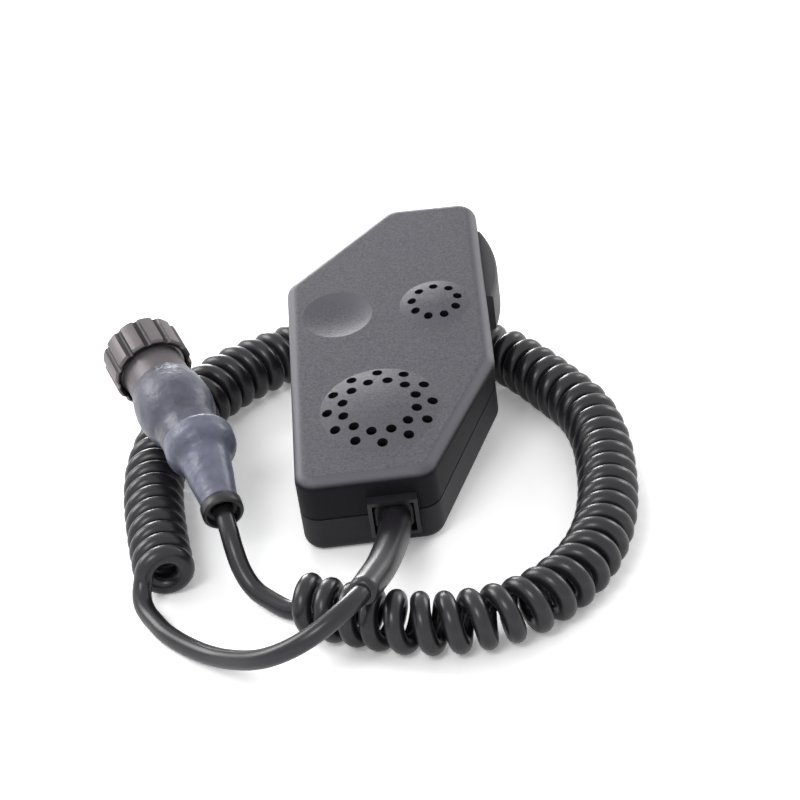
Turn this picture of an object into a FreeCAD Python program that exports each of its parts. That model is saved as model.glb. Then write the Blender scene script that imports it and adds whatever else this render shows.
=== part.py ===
import FreeCAD, Part
import Sketcher
import bisect
import math
import os

# Handheld speaker microphone: a two-shell fist case with a talk bar, lying face up on its
# curly cord, whose far end carries a multipin plug with a screwed coupling nut.
# The case and what is in it are drawn in the case's own frame: x to the right, y to the top,
# z out of the face, with its zero on the face at the centre of the large grille. One placement
# then lays it down, tilted, and the cord and the plug are drawn where they lie.
# Lengths are in millimetres, angles in degrees.

Vector = FreeCAD.Vector
Rotation = FreeCAD.Rotation
Place = FreeCAD.Placement

# Driving dimensions, one row each: alias, value, what it measures
SIZES = [
    ("case_left", 27.0, "left wall, from the grille's centre line"),
    ("case_right", 36.0, "right wall at the face"),
    ("case_low", 30.2, "bottom wall, below the grille's centre"),
    ("low_corner_x", 9.1, "centre of the lower right corner at the face"),
    ("right_corner_y", 18.97, "centre of the right corner at the face"),
    ("top_right_y", 92.3, "centre of the top right corner"),
    ("top_left_x", 10.2, "centre of the top left corner, across"),
    ("top_left_y", 93.0, "centre of the top left corner, up"),
    ("left_corner_y", 62.5, "centre of the left corner"),
    ("seam_low_x", 9.45, "centre of the lower right corner at the seam"),
    ("seam_right_y", 22.5, "centre of the right corner at the seam"),
    ("seam_draw", 0.4, "how far the right wall leans in at the seam"),
    ("case_depth", 28.2, "face to back"),
    ("seam_depth", 14.6, "face to the middle of the seam"),
    ("case_wall", 2.2, "wall of both shells"),
    ("corner_round", 6.5, "plan radius of the case's corners"),
    ("edge_round", 3.5, "rounding of the face's and the back's edges"),
    ("seal_thick", 0.6, "seal between the shells"),
    ("seal_inset", 0.6, "seal's outer edge, inside the wall's outer side"),
    ("seal_width", 1.2, "width of the seal"),
    ("grille_radius", 18.3, "foot of the large grille's dome"),
    ("grille_rise", 2.0, "height of the large grille's dome"),
    ("outer_ring", 16.0, "radius of the outer ring of sound holes"),
    ("inner_ring", 11.5, "radius of the inner ring of sound holes"),
    ("sound_hole", 3.2, "diameter of the speaker's sound holes"),
    ("port_x", 19.8, "centre of the small grille, across"),
    ("port_y", 47.1, "centre of the small grille, up"),
    ("port_radius", 11.1, "foot of the small grille's dome"),
    ("port_rise", 1.4, "height of the small grille's dome"),
    ("port_ring", 7.3, "radius of the ring of voice holes"),
    ("voice_hole", 2.8, "diameter of the voice holes"),
    ("dish_x", 11.2, "thumb dish, left of the grille's centre line"),
    ("dish_radius", 11.1, "rim of the thumb dish"),
    ("dish_drop", 1.6, "depth of the thumb dish"),
    ("collar_x", 1.0, "middle of the cable collar, across"),
    ("collar_width", 14.9, "cable collar, across"),
    ("collar_deep", 13.7, "cable collar, through the case"),
    ("collar_out", 3.2, "how far the collar stands out"),
    ("collar_wall", 1.2, "wall of the collar's frame"),
    ("bush_radius", 5.9, "cable bush, outside"),
    ("relief_radius", 5.0, "strain relief at the collar"),
    ("relief_tip", 4.35, "strain relief at its tip"),
    ("bar_top", 90.5, "top end of the talk bar"),
    ("bar_low", 56.0, "lower end of the talk bar"),
    ("bar_width", 14.0, "talk bar, through the case"),
    ("bar_front", 7.0, "talk bar's front side, below the face"),
    ("bar_arch", 50.0, "radius of the talk bar's arched back"),
    ("bar_low_out", 2.3, "arch at the bar's lower end, out of the wall"),
    ("bar_bed", 1.6, "depth of the bed in the wall under the talk bar"),
    ("bar_gap", 1.6, "free travel under the bar's lower end"),
    ("bar_tip", 0.7, "thickness of the bar's lower end"),
    ("bar_top_gap", 0.35, "gap under the bar's top end"),
    ("pin_x", 31.0, "hinge pin, across"),
    ("pin_y", 84.5, "hinge pin, up"),
    ("pin_radius", 1.25, "hinge pin"),
    ("pin_gap", 0.05, "running clearance round the pin"),
    ("barrel_radius", 2.9, "barrel of the talk bar"),
    ("plunger_y", 64.0, "switch plunger, up"),
    ("plunger_radius", 1.5, "switch plunger"),
    ("plunger_gap", 0.05, "running clearance round the plunger"),
    ("boot_radius", 4.0, "rubber boot round the plunger"),
    ("speaker_radius", 19.5, "speaker frame"),
    ("capsule_radius", 4.85, "microphone capsule"),
    ("board_depth", 17.0, "face of the circuit board, below the case's face"),
    ("board_thick", 1.6, "circuit board"),
    ("post_radius", 2.6, "posts that carry the board"),
    ("boss_radius", 3.2, "bosses for the case screws"),
    ("screw_radius", 1.25, "case screws"),
    ("screw_head", 2.4, "heads of the case screws"),
    ("stud_x", 5.0, "hang-up stud, across"),
    ("stud_y", 35.0, "hang-up stud, up"),
    ("stud_head", 6.2, "head of the hang-up stud"),
    ("stud_neck", 3.2, "neck of the hang-up stud"),
    ("stud_out", 6.6, "hang-up stud, out of the back"),
    ("seat_pitch", 10.1, "how far the case's top end is lifted"),
    ("seat_roll", 1.75, "how far the case's right side is lifted"),
    ("cord_wire", 5.7, "diameter of the cord"),
    ("coil_outside", 18.2, "outer diameter of the curls"),
    ("coil_turns", 62.5, "curls, from the left side of the first"),
    ("nut_radius", 12.6, "coupling nut over its lobes"),
    ("nut_length", 12.8, "coupling nut"),
    ("nut_groove", 1.25, "depth of the grooves between the lobes"),
    ("nut_lobes", 12.0, "lobes of the coupling nut"),
    ("thread_radius", 10.9, "inside of the nut's thread"),
    ("plug_radius", 9.8, "body of the plug"),
    ("nose_radius", 8.4, "nose of the plug, inside the nut"),
    ("sleeve_radius", 12.0, "front shrink sleeve at its widest"),
    ("bulge_radius", 10.9, "rear shrink sleeve at its bulge"),
    ("tail_radius", 5.6, "rear shrink sleeve at its end"),
    ("ring_radius", 6.3, "rubber ring at the plug's cable end"),
]

doc = FreeCAD.newDocument("microphone")
sheet = doc.addObject("Spreadsheet::Sheet", "sizes")
for row, (alias, value, note) in enumerate(SIZES, start=1):
    sheet.set(f"A{row}", str(value))
    sheet.setAlias(f"A{row}", alias)
    sheet.set(f"B{row}", note)
doc.recompute()


class Size:
    """A size: its value, and the words that bind a property to the sheet."""

    def __init__(self, value, text):
        self.value = value
        self.text = text

    def __float__(self):
        return float(self.value)

    def __add__(self, other):
        other = size(other)
        return Size(self.value + other.value, f"({self.text} + {other.text})")

    def __sub__(self, other):
        other = size(other)
        return Size(self.value - other.value, f"({self.text} - {other.text})")

    def __mul__(self, other):
        other = size(other)
        return Size(self.value * other.value, f"({self.text} * {other.text})")

    def __truediv__(self, other):
        other = size(other)
        return Size(self.value / other.value, f"({self.text} / {other.text})")

    def __neg__(self):
        return Size(-self.value, f"(0 - {self.text})")

    def __radd__(self, other):
        return size(other) + self

    def __rsub__(self, other):
        return size(other) - self

    def __rmul__(self, other):
        return size(other) * self


def size(value):
    if isinstance(value, Size):
        return value
    return Size(value, f"({value})")


def root(value):
    return Size(math.sqrt(value.value), f"sqrt({value.text})")


class Sheet:
    """Reads a driving dimension by its alias."""

    def __getattr__(self, alias):
        return Size(float(sheet.get(alias)), f"sizes.{alias}")


S = Sheet()
pieces = {}


def keep(label, thing, frame="case"):
    """Names a piece and notes the frame it is drawn in: the case's, the plug's or the tail's."""
    thing.Label = label
    pieces[label] = (thing, frame)
    return thing


def body_plane(body, role):
    return next(one for one in body.Origin.OriginFeatures if one.Role == role)


def attach(thing, body, role, offset=(0, 0, 0)):
    """Lays a sketch or a primitive on one of the body's planes, offset by bound lengths."""
    thing.AttachmentSupport = [(body_plane(body, role), "")]
    thing.MapMode = "FlatFace"
    offset = [size(one) for one in offset]
    thing.AttachmentOffset = Place(Vector(*[float(one) for one in offset]), Rotation())
    for axis, one in zip("xyz", offset):
        thing.setExpression(f"AttachmentOffset.Base.{axis}", one.text)


def bind(thing, name, value):
    value = size(value)
    setattr(thing, name, float(value))
    thing.setExpression(name, value.text)


def pin_point(sketch, line, end, x, y):
    for kind, value in (("DistanceX", size(x)), ("DistanceY", size(y))):
        index = sketch.addConstraint(Sketcher.Constraint(kind, -1, 1, line, end, float(value)))
        sketch.setExpression(f"Constraints[{index}]", value.text)


def drawn(body, name, role, points, offset=(0, 0, 0)):
    """A closed profile whose corners are bound. A third value on a corner, a radius, makes the
    side that follows it an arc: to the right of the way for a positive one."""
    sketch = body.newObject("Sketcher::SketchObject", name)
    attach(sketch, body, role, offset)
    ends = []
    for here, there in zip(points, points[1:] + points[:1]):
        a = Vector(float(here[0]), float(here[1]), 0)
        b = Vector(float(there[0]), float(there[1]), 0)
        if len(here) < 3:
            sketch.addGeometry(Part.LineSegment(a, b), False)
            ends.append((1, 2))
            continue
        radius = float(here[2])
        half = (b - a) * 0.5
        out = Vector(half.y, -half.x, 0).normalize() * math.copysign(1, radius)
        centre = a + half - out * math.sqrt(radius ** 2 - half.Length ** 2)
        begin, finish = (a - centre, b - centre) if radius > 0 else (b - centre, a - centre)
        first = math.atan2(begin.y, begin.x)
        last = math.atan2(finish.y, finish.x)
        last += 2 * math.pi if last < first else 0
        circle = Part.Circle(centre, Vector(0, 0, 1), abs(radius))
        sketch.addGeometry(Part.ArcOfCircle(circle, first, last), False)
        ends.append((1, 2) if radius > 0 else (2, 1))
    count = len(points)
    for index in range(count):
        after = (index + 1) % count
        joined = (index, ends[index][1], after, ends[after][0])
        sketch.addConstraint(Sketcher.Constraint("Coincident", *joined))
    for index, here in enumerate(points):
        pin_point(sketch, index, ends[index][0], here[0], here[1])
        if len(here) == 3:
            radius = here[2] if float(here[2]) > 0 else -here[2]
            added = sketch.addConstraint(Sketcher.Constraint("Radius", index, float(radius)))
            sketch.setExpression(f"Constraints[{added}]", radius.text)
    return sketch


def ring_of_holes(body, name, ring, hole, first, centre, reach, count):
    """Round holes along z, evenly spaced on a ring and cut as far as the reach both ways."""
    sketch = body.newObject("Sketcher::SketchObject", name + "_sketch")
    attach(sketch, body, "XY_Plane", centre)
    angle = math.radians(first)
    at = (ring * math.cos(angle), ring * math.sin(angle))
    circle = Part.Circle(Vector(float(at[0]), float(at[1]), 0), Vector(0, 0, 1), float(hole) / 2)
    sketch.addGeometry(circle, False)
    pin_point(sketch, 0, 3, *at)
    index = sketch.addConstraint(Sketcher.Constraint("Diameter", 0, float(hole)))
    sketch.setExpression(f"Constraints[{index}]", hole.text)
    pocket = body.newObject("PartDesign::Pocket", name)
    pocket.Profile = sketch
    pocket.Midplane = True
    bind(pocket, "Length", size(reach) * 2)
    pattern = body.newObject("PartDesign::PolarPattern", name + "_pattern")
    pattern.Originals = [pocket]
    pattern.Axis = (sketch, ["N_Axis"])
    pattern.Angle = 360
    pattern.Occurrences = count
    body.Tip = pattern
    return pattern


def prism(body, name, kind, role, points, start, length, backwards=False):
    """A pad or a pocket of a bound profile."""
    offsets = {"XY_Plane": (0, 0, start), "XZ_Plane": (0, 0, -start), "YZ_Plane": (0, 0, start)}
    sketch = drawn(body, name + "_sketch", role, points, offsets[role])
    feature = body.newObject("PartDesign::" + kind, name)
    feature.Profile = sketch
    feature.Reversed = backwards
    bind(feature, "Length", length)
    body.Tip = feature
    return feature


def turned(body, name, kind, points, centre=(0, 0, 0)):
    """A revolution or a groove round an axis along z; the profile gives radius and height."""
    sketch = drawn(body, name + "_sketch", "XZ_Plane", points, (centre[0], centre[2], -size(centre[1])))
    feature = body.newObject("PartDesign::" + kind, name)
    feature.Profile = sketch
    feature.ReferenceAxis = (sketch, ["V_Axis"])
    feature.Angle = 360
    body.Tip = feature
    return feature


def solid(body, name, kind, place, **dims):
    """An additive or subtractive primitive laid at bound lengths."""
    feature = body.newObject("PartDesign::" + kind, name)
    attach(feature, body, "XY_Plane", place)
    for key, value in dims.items():
        bind(feature, key, value)
    body.Tip = feature
    return feature


def block(body, name, kind, low, high):
    """A box between two corners."""
    low = [size(one) for one in low]
    high = [size(one) for one in high]
    spans = [b - a for a, b in zip(low, high)]
    return solid(body, name, kind, low, Length=spans[0], Width=spans[1], Height=spans[2])


def rounded(body, name, radius, test):
    """Fillets those edges of the body that the test picks."""
    doc.recompute()
    base = body.Tip
    picked = [f"Edge{n}" for n, edge in enumerate(base.Shape.Edges, start=1) if test(edge)]
    fillet = body.newObject("PartDesign::Fillet", name)
    fillet.Base = (base, picked)
    bind(fillet, "Radius", radius)
    body.Tip = fillet
    return fillet


def new_body(label, frame="case"):
    return keep(label, doc.addObject("PartDesign::Body", label), frame)


# Levels through the case, all below the face
seal_top = S.seal_thick / 2 - S.seam_depth
seal_low = -S.seal_thick / 2 - S.seam_depth
inner_face = -S.case_wall
inner_back = S.case_wall - S.case_depth
back = -S.case_depth


def case_corners(level):
    """Centres of the six corner arcs, going round the case from the lower left."""
    left = S.corner_round - S.case_left
    low = S.corner_round - S.case_low
    if level == "face":
        right = S.case_right - S.corner_round
        return [(left, low), (S.low_corner_x, low), (right, S.right_corner_y),
                (right, S.top_right_y), (S.top_left_x, S.top_left_y), (left, S.left_corner_y)]
    right = S.case_right - S.corner_round - S.seam_draw
    return [(left, low), (S.seam_low_x, low), (right, S.seam_right_y),
            (right, S.top_right_y), (S.top_left_x, S.top_left_y), (left, S.left_corner_y)]


def case_outline(body, name, level, inset, height):
    """The case's outline: six arcs round the corner centres, and the lines that touch them."""
    sketch = body.newObject("Sketcher::SketchObject", name)
    attach(sketch, body, "XY_Plane", (0, 0, height))
    centres = case_corners(level)
    radius = S.corner_round - inset
    spots = [Vector(float(x), float(y), 0) for x, y in centres]
    count = len(spots)
    across = []
    for here, there in zip(spots, spots[1:] + spots[:1]):
        way = there - here
        across.append(math.atan2(way.y, way.x) - math.pi / 2)
    for index, spot in enumerate(spots):
        first, last = across[index - 1], across[index]
        last += 2 * math.pi if last < first else 0
        circle = Part.Circle(spot, Vector(0, 0, 1), float(radius))
        sketch.addGeometry(Part.ArcOfCircle(circle, first, last), False)
    for index, spot in enumerate(spots):
        out = Vector(math.cos(across[index]), math.sin(across[index]), 0) * float(radius)
        line = Part.LineSegment(spot + out, spots[(index + 1) % count] + out)
        sketch.addGeometry(line, False)
    for index, (x, y) in enumerate(centres):
        after = (index + 1) % count
        sketch.addConstraint(Sketcher.Constraint("Tangent", index, 2, count + index, 1))
        sketch.addConstraint(Sketcher.Constraint("Tangent", count + index, 2, after, 1))
        pin_point(sketch, index, 3, x, y)
        added = sketch.addConstraint(Sketcher.Constraint("Radius", index, float(radius)))
        sketch.setExpression(f"Constraints[{added}]", radius.text)
    return sketch


def outline_prism(body, name, kind, level, inset, start, length, backwards=False):
    feature = body.newObject("PartDesign::" + kind, name)
    feature.Profile = case_outline(body, name + "_sketch", level, inset, start)
    feature.Reversed = backwards
    bind(feature, "Length", length)
    body.Tip = feature
    return feature


# Places shared by the two shells and by what they hold
collar_low = S.collar_x - S.collar_width / 2
collar_high = S.collar_x + S.collar_width / 2
collar_front = S.collar_deep / 2 - S.seam_depth
collar_back = -S.collar_deep / 2 - S.seam_depth
fit_gap = 0.1
inner_right = S.case_right - S.seam_draw - S.case_wall
bed_floor = S.case_right - S.bar_bed
bar_back = -S.bar_front - S.bar_width
barrel_front = -S.bar_front - 1
barrel_back = 1 - S.bar_front - S.bar_width
bar_middle = -S.bar_front - S.bar_width / 2
screw_spots = [(-20.4, -23.2), (28.6, 24.0), (23.2, 92.6), (-20.4, 61.6)]
post_spots = [(-19.5, 41.5), (9.0, 84.0), (7.0, 38.0)]


def openings(body):
    """The cable collar's notch, the talk bar's bed, the hinge window and the plunger's hole."""
    block(body, "collar_notch", "SubtractiveBox",
          (collar_low - fit_gap, -S.case_low - 1, collar_back - fit_gap),
          (collar_high + fit_gap, S.case_wall + 0.6 - S.case_low, collar_front + fit_gap))
    block(body, "bar_bed", "SubtractiveBox", (bed_floor, S.bar_low - 0.8, bar_back - 0.4),
          (S.case_right + 1, S.bar_top + 0.8, 0.4 - S.bar_front))
    block(body, "hinge_window", "SubtractiveBox",
          (S.case_right - S.case_wall - 1.2, S.pin_y - S.barrel_radius - 1.6, barrel_back - 0.5),
          (S.case_right + 1, S.pin_y + S.barrel_radius + 1.6, barrel_front + 0.5))
    hole = solid(body, "plunger_hole", "SubtractiveCylinder", (0, 0, 0),
                 Radius=S.boot_radius, Height=8)
    hole.AttachmentOffset = Place(Vector(float(S.case_right) - 5, float(S.plunger_y),
                                         float(bar_middle)), Rotation(Vector(0, 1, 0), 90))
    for axis, value in zip("xyz", (S.case_right - 5, S.plunger_y, bar_middle)):
        hole.setExpression(f"AttachmentOffset.Base.{axis}", value.text)


def front_shell():
    """Face plate with its rounded edge, leaning walls, grilles, thumb dish, posts and bosses."""
    body = new_body("front_shell")
    plate = S.edge_round + 0.1
    outline_prism(body, "face_plate", "Pad", "face", size(0), size(0), plate, backwards=True)
    rounded(body, "face_edge", S.edge_round,
            lambda edge: edge.BoundBox.ZLength < 0.01 and edge.CenterOfMass.z > -0.1)
    walls = body.newObject("PartDesign::AdditiveLoft", "walls")
    walls.Profile = case_outline(body, "seam_outline", "seam", size(0), seal_top)
    walls.Sections = [case_outline(body, "shoulder_outline", "face", size(0), -plate)]
    walls.Ruled = True
    body.Tip = walls
    outline_prism(body, "cavity", "Pocket", "seam", S.case_wall, seal_top, -seal_top - S.case_wall,
                  backwards=True)

    # Domes over the speaker and over the capsule, hollow behind
    for name, x, y, foot, rise in (
            ("grille", 0, 0, S.grille_radius, S.grille_rise),
            ("port", S.port_x, S.port_y, S.port_radius, S.port_rise)):
        ball = (foot * foot + rise * rise) / (rise * 2)
        turned(body, name + "_dome", "Revolution",
               [(0, -0.1), (foot, -0.1), (foot, 0, ball), (0, rise)],
               (x, y, 0))
        hollow = ball - S.case_wall + 0.2
        drop = hollow - ball + rise
        half = root(hollow * hollow - (ball - rise - S.case_wall) * (ball - rise - S.case_wall))
        turned(body, name + "_hollow", "Groove",
               [(0, inner_face), (half, inner_face, hollow), (0, drop)],
               (x, y, 0))

    # Thumb dish, with the skin kept whole behind it
    solid(body, "dish_back", "AdditiveCylinder",
          (-S.dish_x, S.port_y, inner_face - S.dish_drop), Radius=S.dish_radius + 1,
          Height=S.dish_drop + 0.2)
    ball = (S.dish_radius * S.dish_radius + S.dish_drop * S.dish_drop) / (S.dish_drop * 2)
    turned(body, "thumb_dish", "Groove",
           [(0, -S.dish_drop, ball), (S.dish_radius, 0), (0, 0)],
           (-S.dish_x, S.port_y, 0))

    # Seat for the speaker, posts for the board and bosses for the case screws
    turned(body, "speaker_seat", "Revolution",
           [(S.speaker_radius + 0.2, inner_face + 0.2), (S.speaker_radius + 0.2, inner_face - 3.4),
            (S.speaker_radius + 1.6, inner_face - 3.4), (S.speaker_radius + 1.6, inner_face + 0.2)])
    for number, (x, y) in enumerate(post_spots, start=1):
        solid(body, f"board_post_{number}", "AdditiveCylinder", (x, y, -S.board_depth),
              Radius=S.post_radius, Height=S.board_depth - S.case_wall + 0.3)
        solid(body, f"board_bore_{number}", "SubtractiveCylinder", (x, y, -S.board_depth),
              Radius=0.9, Height=6)
    for number, (x, y) in enumerate(screw_spots, start=1):
        solid(body, f"screw_boss_{number}", "AdditiveCylinder", (x, y, seal_top),
              Radius=S.boss_radius, Height=-seal_top - S.case_wall + 0.3)
        solid(body, f"screw_bore_{number}", "SubtractiveCylinder", (x, y, seal_top),
              Radius=S.screw_radius, Height=8)
    # Socket for the front end of the hinge pin
    solid(body, "pin_socket", "AdditiveCylinder", (S.pin_x, S.pin_y, barrel_front + 0.3),
          Radius=S.pin_radius + 1.2, Height=-barrel_front - 0.3 - S.case_wall + 0.3)
    openings(body)
    solid(body, "pin_seat", "SubtractiveCylinder", (S.pin_x, S.pin_y, barrel_front + 0.3),
          Radius=S.pin_radius, Height=2.0)
    ring_of_holes(body, "outer_holes", S.outer_ring, S.sound_hole, 90, (0, 0, 0), 3, 12)
    ring_of_holes(body, "inner_holes", S.inner_ring, S.sound_hole, 105, (0, 0, 0), 3, 12)
    ring_of_holes(body, "voice_holes", S.port_ring, S.voice_hole, 90, (S.port_x, S.port_y, 0), 3, 9)


def rear_shell():
    """Back half of the case, with its bosses, the stud's seat and the pin's rear socket."""
    body = new_body("rear_shell")
    outline_prism(body, "back_block", "Pad", "seam", size(0), back, S.case_depth + seal_low)
    rounded(body, "back_edge", S.edge_round,
            lambda edge: edge.BoundBox.ZLength < 0.01 and edge.CenterOfMass.z < float(back) + 0.1)
    outline_prism(body, "cavity", "Pocket", "seam", S.case_wall, inner_back, seal_low - inner_back,
                  backwards=True)
    for number, (x, y) in enumerate(screw_spots, start=1):
        solid(body, f"screw_boss_{number}", "AdditiveCylinder", (x, y, inner_back - 0.3),
              Radius=S.boss_radius, Height=seal_low - inner_back + 0.3)
        solid(body, f"screw_way_{number}", "SubtractiveCylinder", (x, y, back - 1),
              Radius=S.screw_radius + 0.15, Height=S.case_depth)
        solid(body, f"head_sink_{number}", "SubtractiveCylinder", (x, y, back - 1),
              Radius=S.screw_head + 0.2, Height=4.0)
    solid(body, "stud_boss", "AdditiveCylinder", (S.stud_x, S.stud_y, inner_back - 0.3),
          Radius=S.stud_neck + 1.6, Height=3.3)
    solid(body, "stud_way", "SubtractiveCylinder", (S.stud_x, S.stud_y, back - 1),
          Radius=1.5, Height=8)
    solid(body, "pin_socket", "AdditiveCylinder", (S.pin_x, S.pin_y, inner_back - 0.3),
          Radius=S.pin_radius + 1.2, Height=barrel_back - 0.3 - inner_back + 0.3)
    openings(body)
    solid(body, "pin_seat", "SubtractiveCylinder", (S.pin_x, S.pin_y, barrel_back - 2.3),
          Radius=S.pin_radius, Height=2.0)


def case_seal():
    """Flat ring of soft seal in the seam, broken by the collar and by the bar's window."""
    body = new_body("case_seal")
    outline_prism(body, "ring", "Pad", "seam", S.seal_inset, seal_low, S.seal_thick)
    outline_prism(body, "ring_inside", "Pocket", "seam", S.seal_inset + S.seal_width, seal_low,
                  S.seal_thick, backwards=True)
    openings(body)


def ring(label, inner, outer, low, high, centre=(0, 0, 0), frame="case"):
    """A plain ring or, with no inner radius, a disc, round an axis along z."""
    body = new_body(label, frame)
    turned(body, "turned", "Revolution",
           [(inner, low), (outer, low), (outer, high), (inner, high)], centre)
    return body


def speaker():
    """Foam ring, cloth, cone, pressed frame and magnet, stacked behind the large grille."""
    foam_low = inner_face - 0.8
    cloth_low = foam_low - 0.25
    ring("speaker_foam", S.speaker_radius - 1.9, S.speaker_radius, foam_low, inner_face)
    ring("speaker_cloth", 0, S.speaker_radius, cloth_low, foam_low)
    frame = new_body("speaker_frame")
    radius = S.speaker_radius
    turned(frame, "basket", "Revolution",
           [(radius - 1.5, cloth_low), (radius, cloth_low), (radius, cloth_low - 1.6),
            (radius - 2.2, cloth_low - 1.6), (radius * 0.55, cloth_low - 5.6),
            (radius * 0.36, cloth_low - 5.6), (radius * 0.36, cloth_low - 4.8),
            (radius * 0.52, cloth_low - 4.8), (radius - 2.6, cloth_low - 1.0),
            (radius - 1.5, cloth_low - 1.0)])
    cone = new_body("speaker_cone")
    turned(cone, "diaphragm", "Revolution",
           [(0, cloth_low - 2.9), (radius * 0.26, cloth_low - 4.0), (radius - 2.75, cloth_low - 0.6),
            (radius - 1.6, cloth_low - 0.3), (radius - 1.6, cloth_low - 0.7),
            (radius - 2.85, cloth_low - 0.9), (radius * 0.26, cloth_low - 4.35),
            (0, cloth_low - 3.3)])
    ring("speaker_magnet", 0, radius * 0.46, cloth_low - 9.4, cloth_low - 5.6)


def capsule():
    """Voice capsule in its rubber boot, behind the small grille."""
    x, y = S.port_x, S.port_y
    low = inner_face - 6.5
    boot = new_body("capsule_boot")
    turned(boot, "boot", "Revolution",
           [(S.capsule_radius, inner_face), (S.port_ring + 2.4, inner_face),
            (S.port_ring + 2.4, inner_face - 1.2), (S.capsule_radius + 1.5, inner_face - 1.2),
            (S.capsule_radius + 1.5, low - 1), (0, low - 1), (0, low), (S.capsule_radius, low)],
           (x, y, 0))
    ring("voice_capsule", 0, S.capsule_radius, low, low + 4.5, (x, y, 0))


def circuit_board():
    """Board on its posts, with a row of plain parts, and the screws that hold it."""
    face = -S.board_depth
    low = face - S.board_thick
    body = new_body("circuit_board")
    outline = [(-23.4, 35.2), (29.5, 35.2), (29.5, 80.0), (17.0, 89.5), (2.6, 86.0),
               (-14.6, 69.0), (-14.6, 55.0), (-23.4, 52.0)]
    prism(body, "board", "Pad", "XY_Plane", outline, low, S.board_thick)
    for number, (x, y) in enumerate(post_spots, start=1):
        solid(body, f"way_{number}", "SubtractiveCylinder", (x, y, low - 1), Radius=1.1,
              Height=S.board_thick + 2)
    group = []
    for number, (x, y) in enumerate(post_spots, start=1):
        shank = doc.addObject("Part::Cylinder", f"board_screw_shank_{number}")
        bind(shank, "Radius", 0.9)
        bind(shank, "Height", S.board_thick + 4.5)
        place(shank, (x, y, low))
        head = doc.addObject("Part::Cylinder", f"board_screw_head_{number}")
        bind(head, "Radius", 1.9)
        bind(head, "Height", 1.4)
        place(head, (x, y, low - 1.4))
        group += [shank, head]
    fused("board_screws", group)
    chips = []
    for number, (x, y, wide, deep, tall) in enumerate(
            ((-8, 46, 9, 6, 1.6), (8, 58, 7, 7, 1.8), (-4, 70, 6, 4, 2.4), (14, 74, 5, 5, 3.0))):
        chip = doc.addObject("Part::Box", f"chip_{number}")
        bind(chip, "Length", wide)
        bind(chip, "Width", deep)
        bind(chip, "Height", tall)
        place(chip, (x - wide / 2, y - deep / 2, face))
        chips.append(chip)
    fused("board_chips", chips)


def place(thing, spot, turn=None):
    """Puts a primitive at bound lengths."""
    spot = [size(one) for one in spot]
    thing.Placement = Place(Vector(*[float(one) for one in spot]), turn or Rotation())
    for axis, one in zip("xyz", spot):
        thing.setExpression(f"Placement.Base.{axis}", one.text)


def fused(label, shapes, frame="case"):
    union = doc.addObject("Part::MultiFuse", label)
    union.Shapes = shapes
    return keep(label, union, frame)


def switch():
    """Microswitch on the board, its plunger and the rubber boot in the wall round it."""
    wall = inner_right
    front = wall - 1.7
    bore = S.plunger_radius + S.plunger_gap
    body = new_body("switch_body")
    block(body, "case", "AdditiveBox", (front - 6.2, S.plunger_y - 4.6, -S.board_depth),
          (front, S.plunger_y + 4.6, bar_middle + 3.4))
    across(body, "bore", "SubtractiveCylinder", (front - 4.0, S.plunger_y, bar_middle), bore, 6)
    boot = new_body("switch_boot")
    across(boot, "plug", "AdditiveCylinder", (wall - 0.9, S.plunger_y, bar_middle),
           S.boot_radius - fit_gap, bed_floor - wall + 0.9)
    across(boot, "flange", "AdditiveCylinder", (wall - 0.9, S.plunger_y, bar_middle),
           S.boot_radius + 1, 0.9)
    across(boot, "bore", "SubtractiveCylinder", (wall - 3, S.plunger_y, bar_middle), bore, 8)
    gap = S.bar_top_gap + (S.bar_gap - S.bar_top_gap) * ((S.bar_top - S.plunger_y)
                                                       / (S.bar_top - S.bar_low))
    tip = bed_floor + gap - 0.15
    plunger = new_body("switch_plunger")
    across(plunger, "rod", "AdditiveCylinder", (front - 1.6, S.plunger_y, bar_middle),
           S.plunger_radius, tip - front + 1.6)


def across(body, name, kind, spot, radius, length):
    """A cylinder along x."""
    feature = body.newObject("PartDesign::" + kind, name)
    attach(feature, body, "XY_Plane", spot)
    feature.AttachmentOffset = Place(feature.AttachmentOffset.Base, Rotation(Vector(0, 1, 0), 90))
    bind(feature, "Radius", radius)
    bind(feature, "Height", length)
    body.Tip = feature
    return feature


def talk_bar():
    """Arched bar along the right wall, hinged at its top end inside the case."""
    body = new_body("talk_bar")
    wall = S.case_right
    prism(body, "bar", "Pad", "XY_Plane",
          [(bed_floor + S.bar_top_gap, S.bar_top), (bed_floor + S.bar_gap, S.bar_low),
           (wall + S.bar_low_out, S.bar_low, S.bar_arch),
           (wall + S.bar_top_gap + S.bar_tip, S.bar_top)], bar_back, S.bar_width)
    rounded(body, "soft_edges", 1.1,
            lambda edge: edge.BoundBox.ZLength < 0.01 and edge.Curve.TypeId == "Part::GeomCircle")
    block(body, "arm", "AdditiveBox", (S.pin_x, S.pin_y - 1.8, barrel_back),
          (wall + 1.3, S.pin_y + 1.8, barrel_front))
    solid(body, "barrel", "AdditiveCylinder", (S.pin_x, S.pin_y, barrel_back),
          Radius=S.barrel_radius, Height=barrel_front - barrel_back)
    solid(body, "bore", "SubtractiveCylinder", (S.pin_x, S.pin_y, barrel_back - 1),
          Radius=S.pin_radius + S.pin_gap, Height=barrel_front - barrel_back + 2)
    ring("hinge_pin", 0, S.pin_radius, barrel_back - 2.2, barrel_front + 2.2,
         (S.pin_x, S.pin_y, 0))


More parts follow.
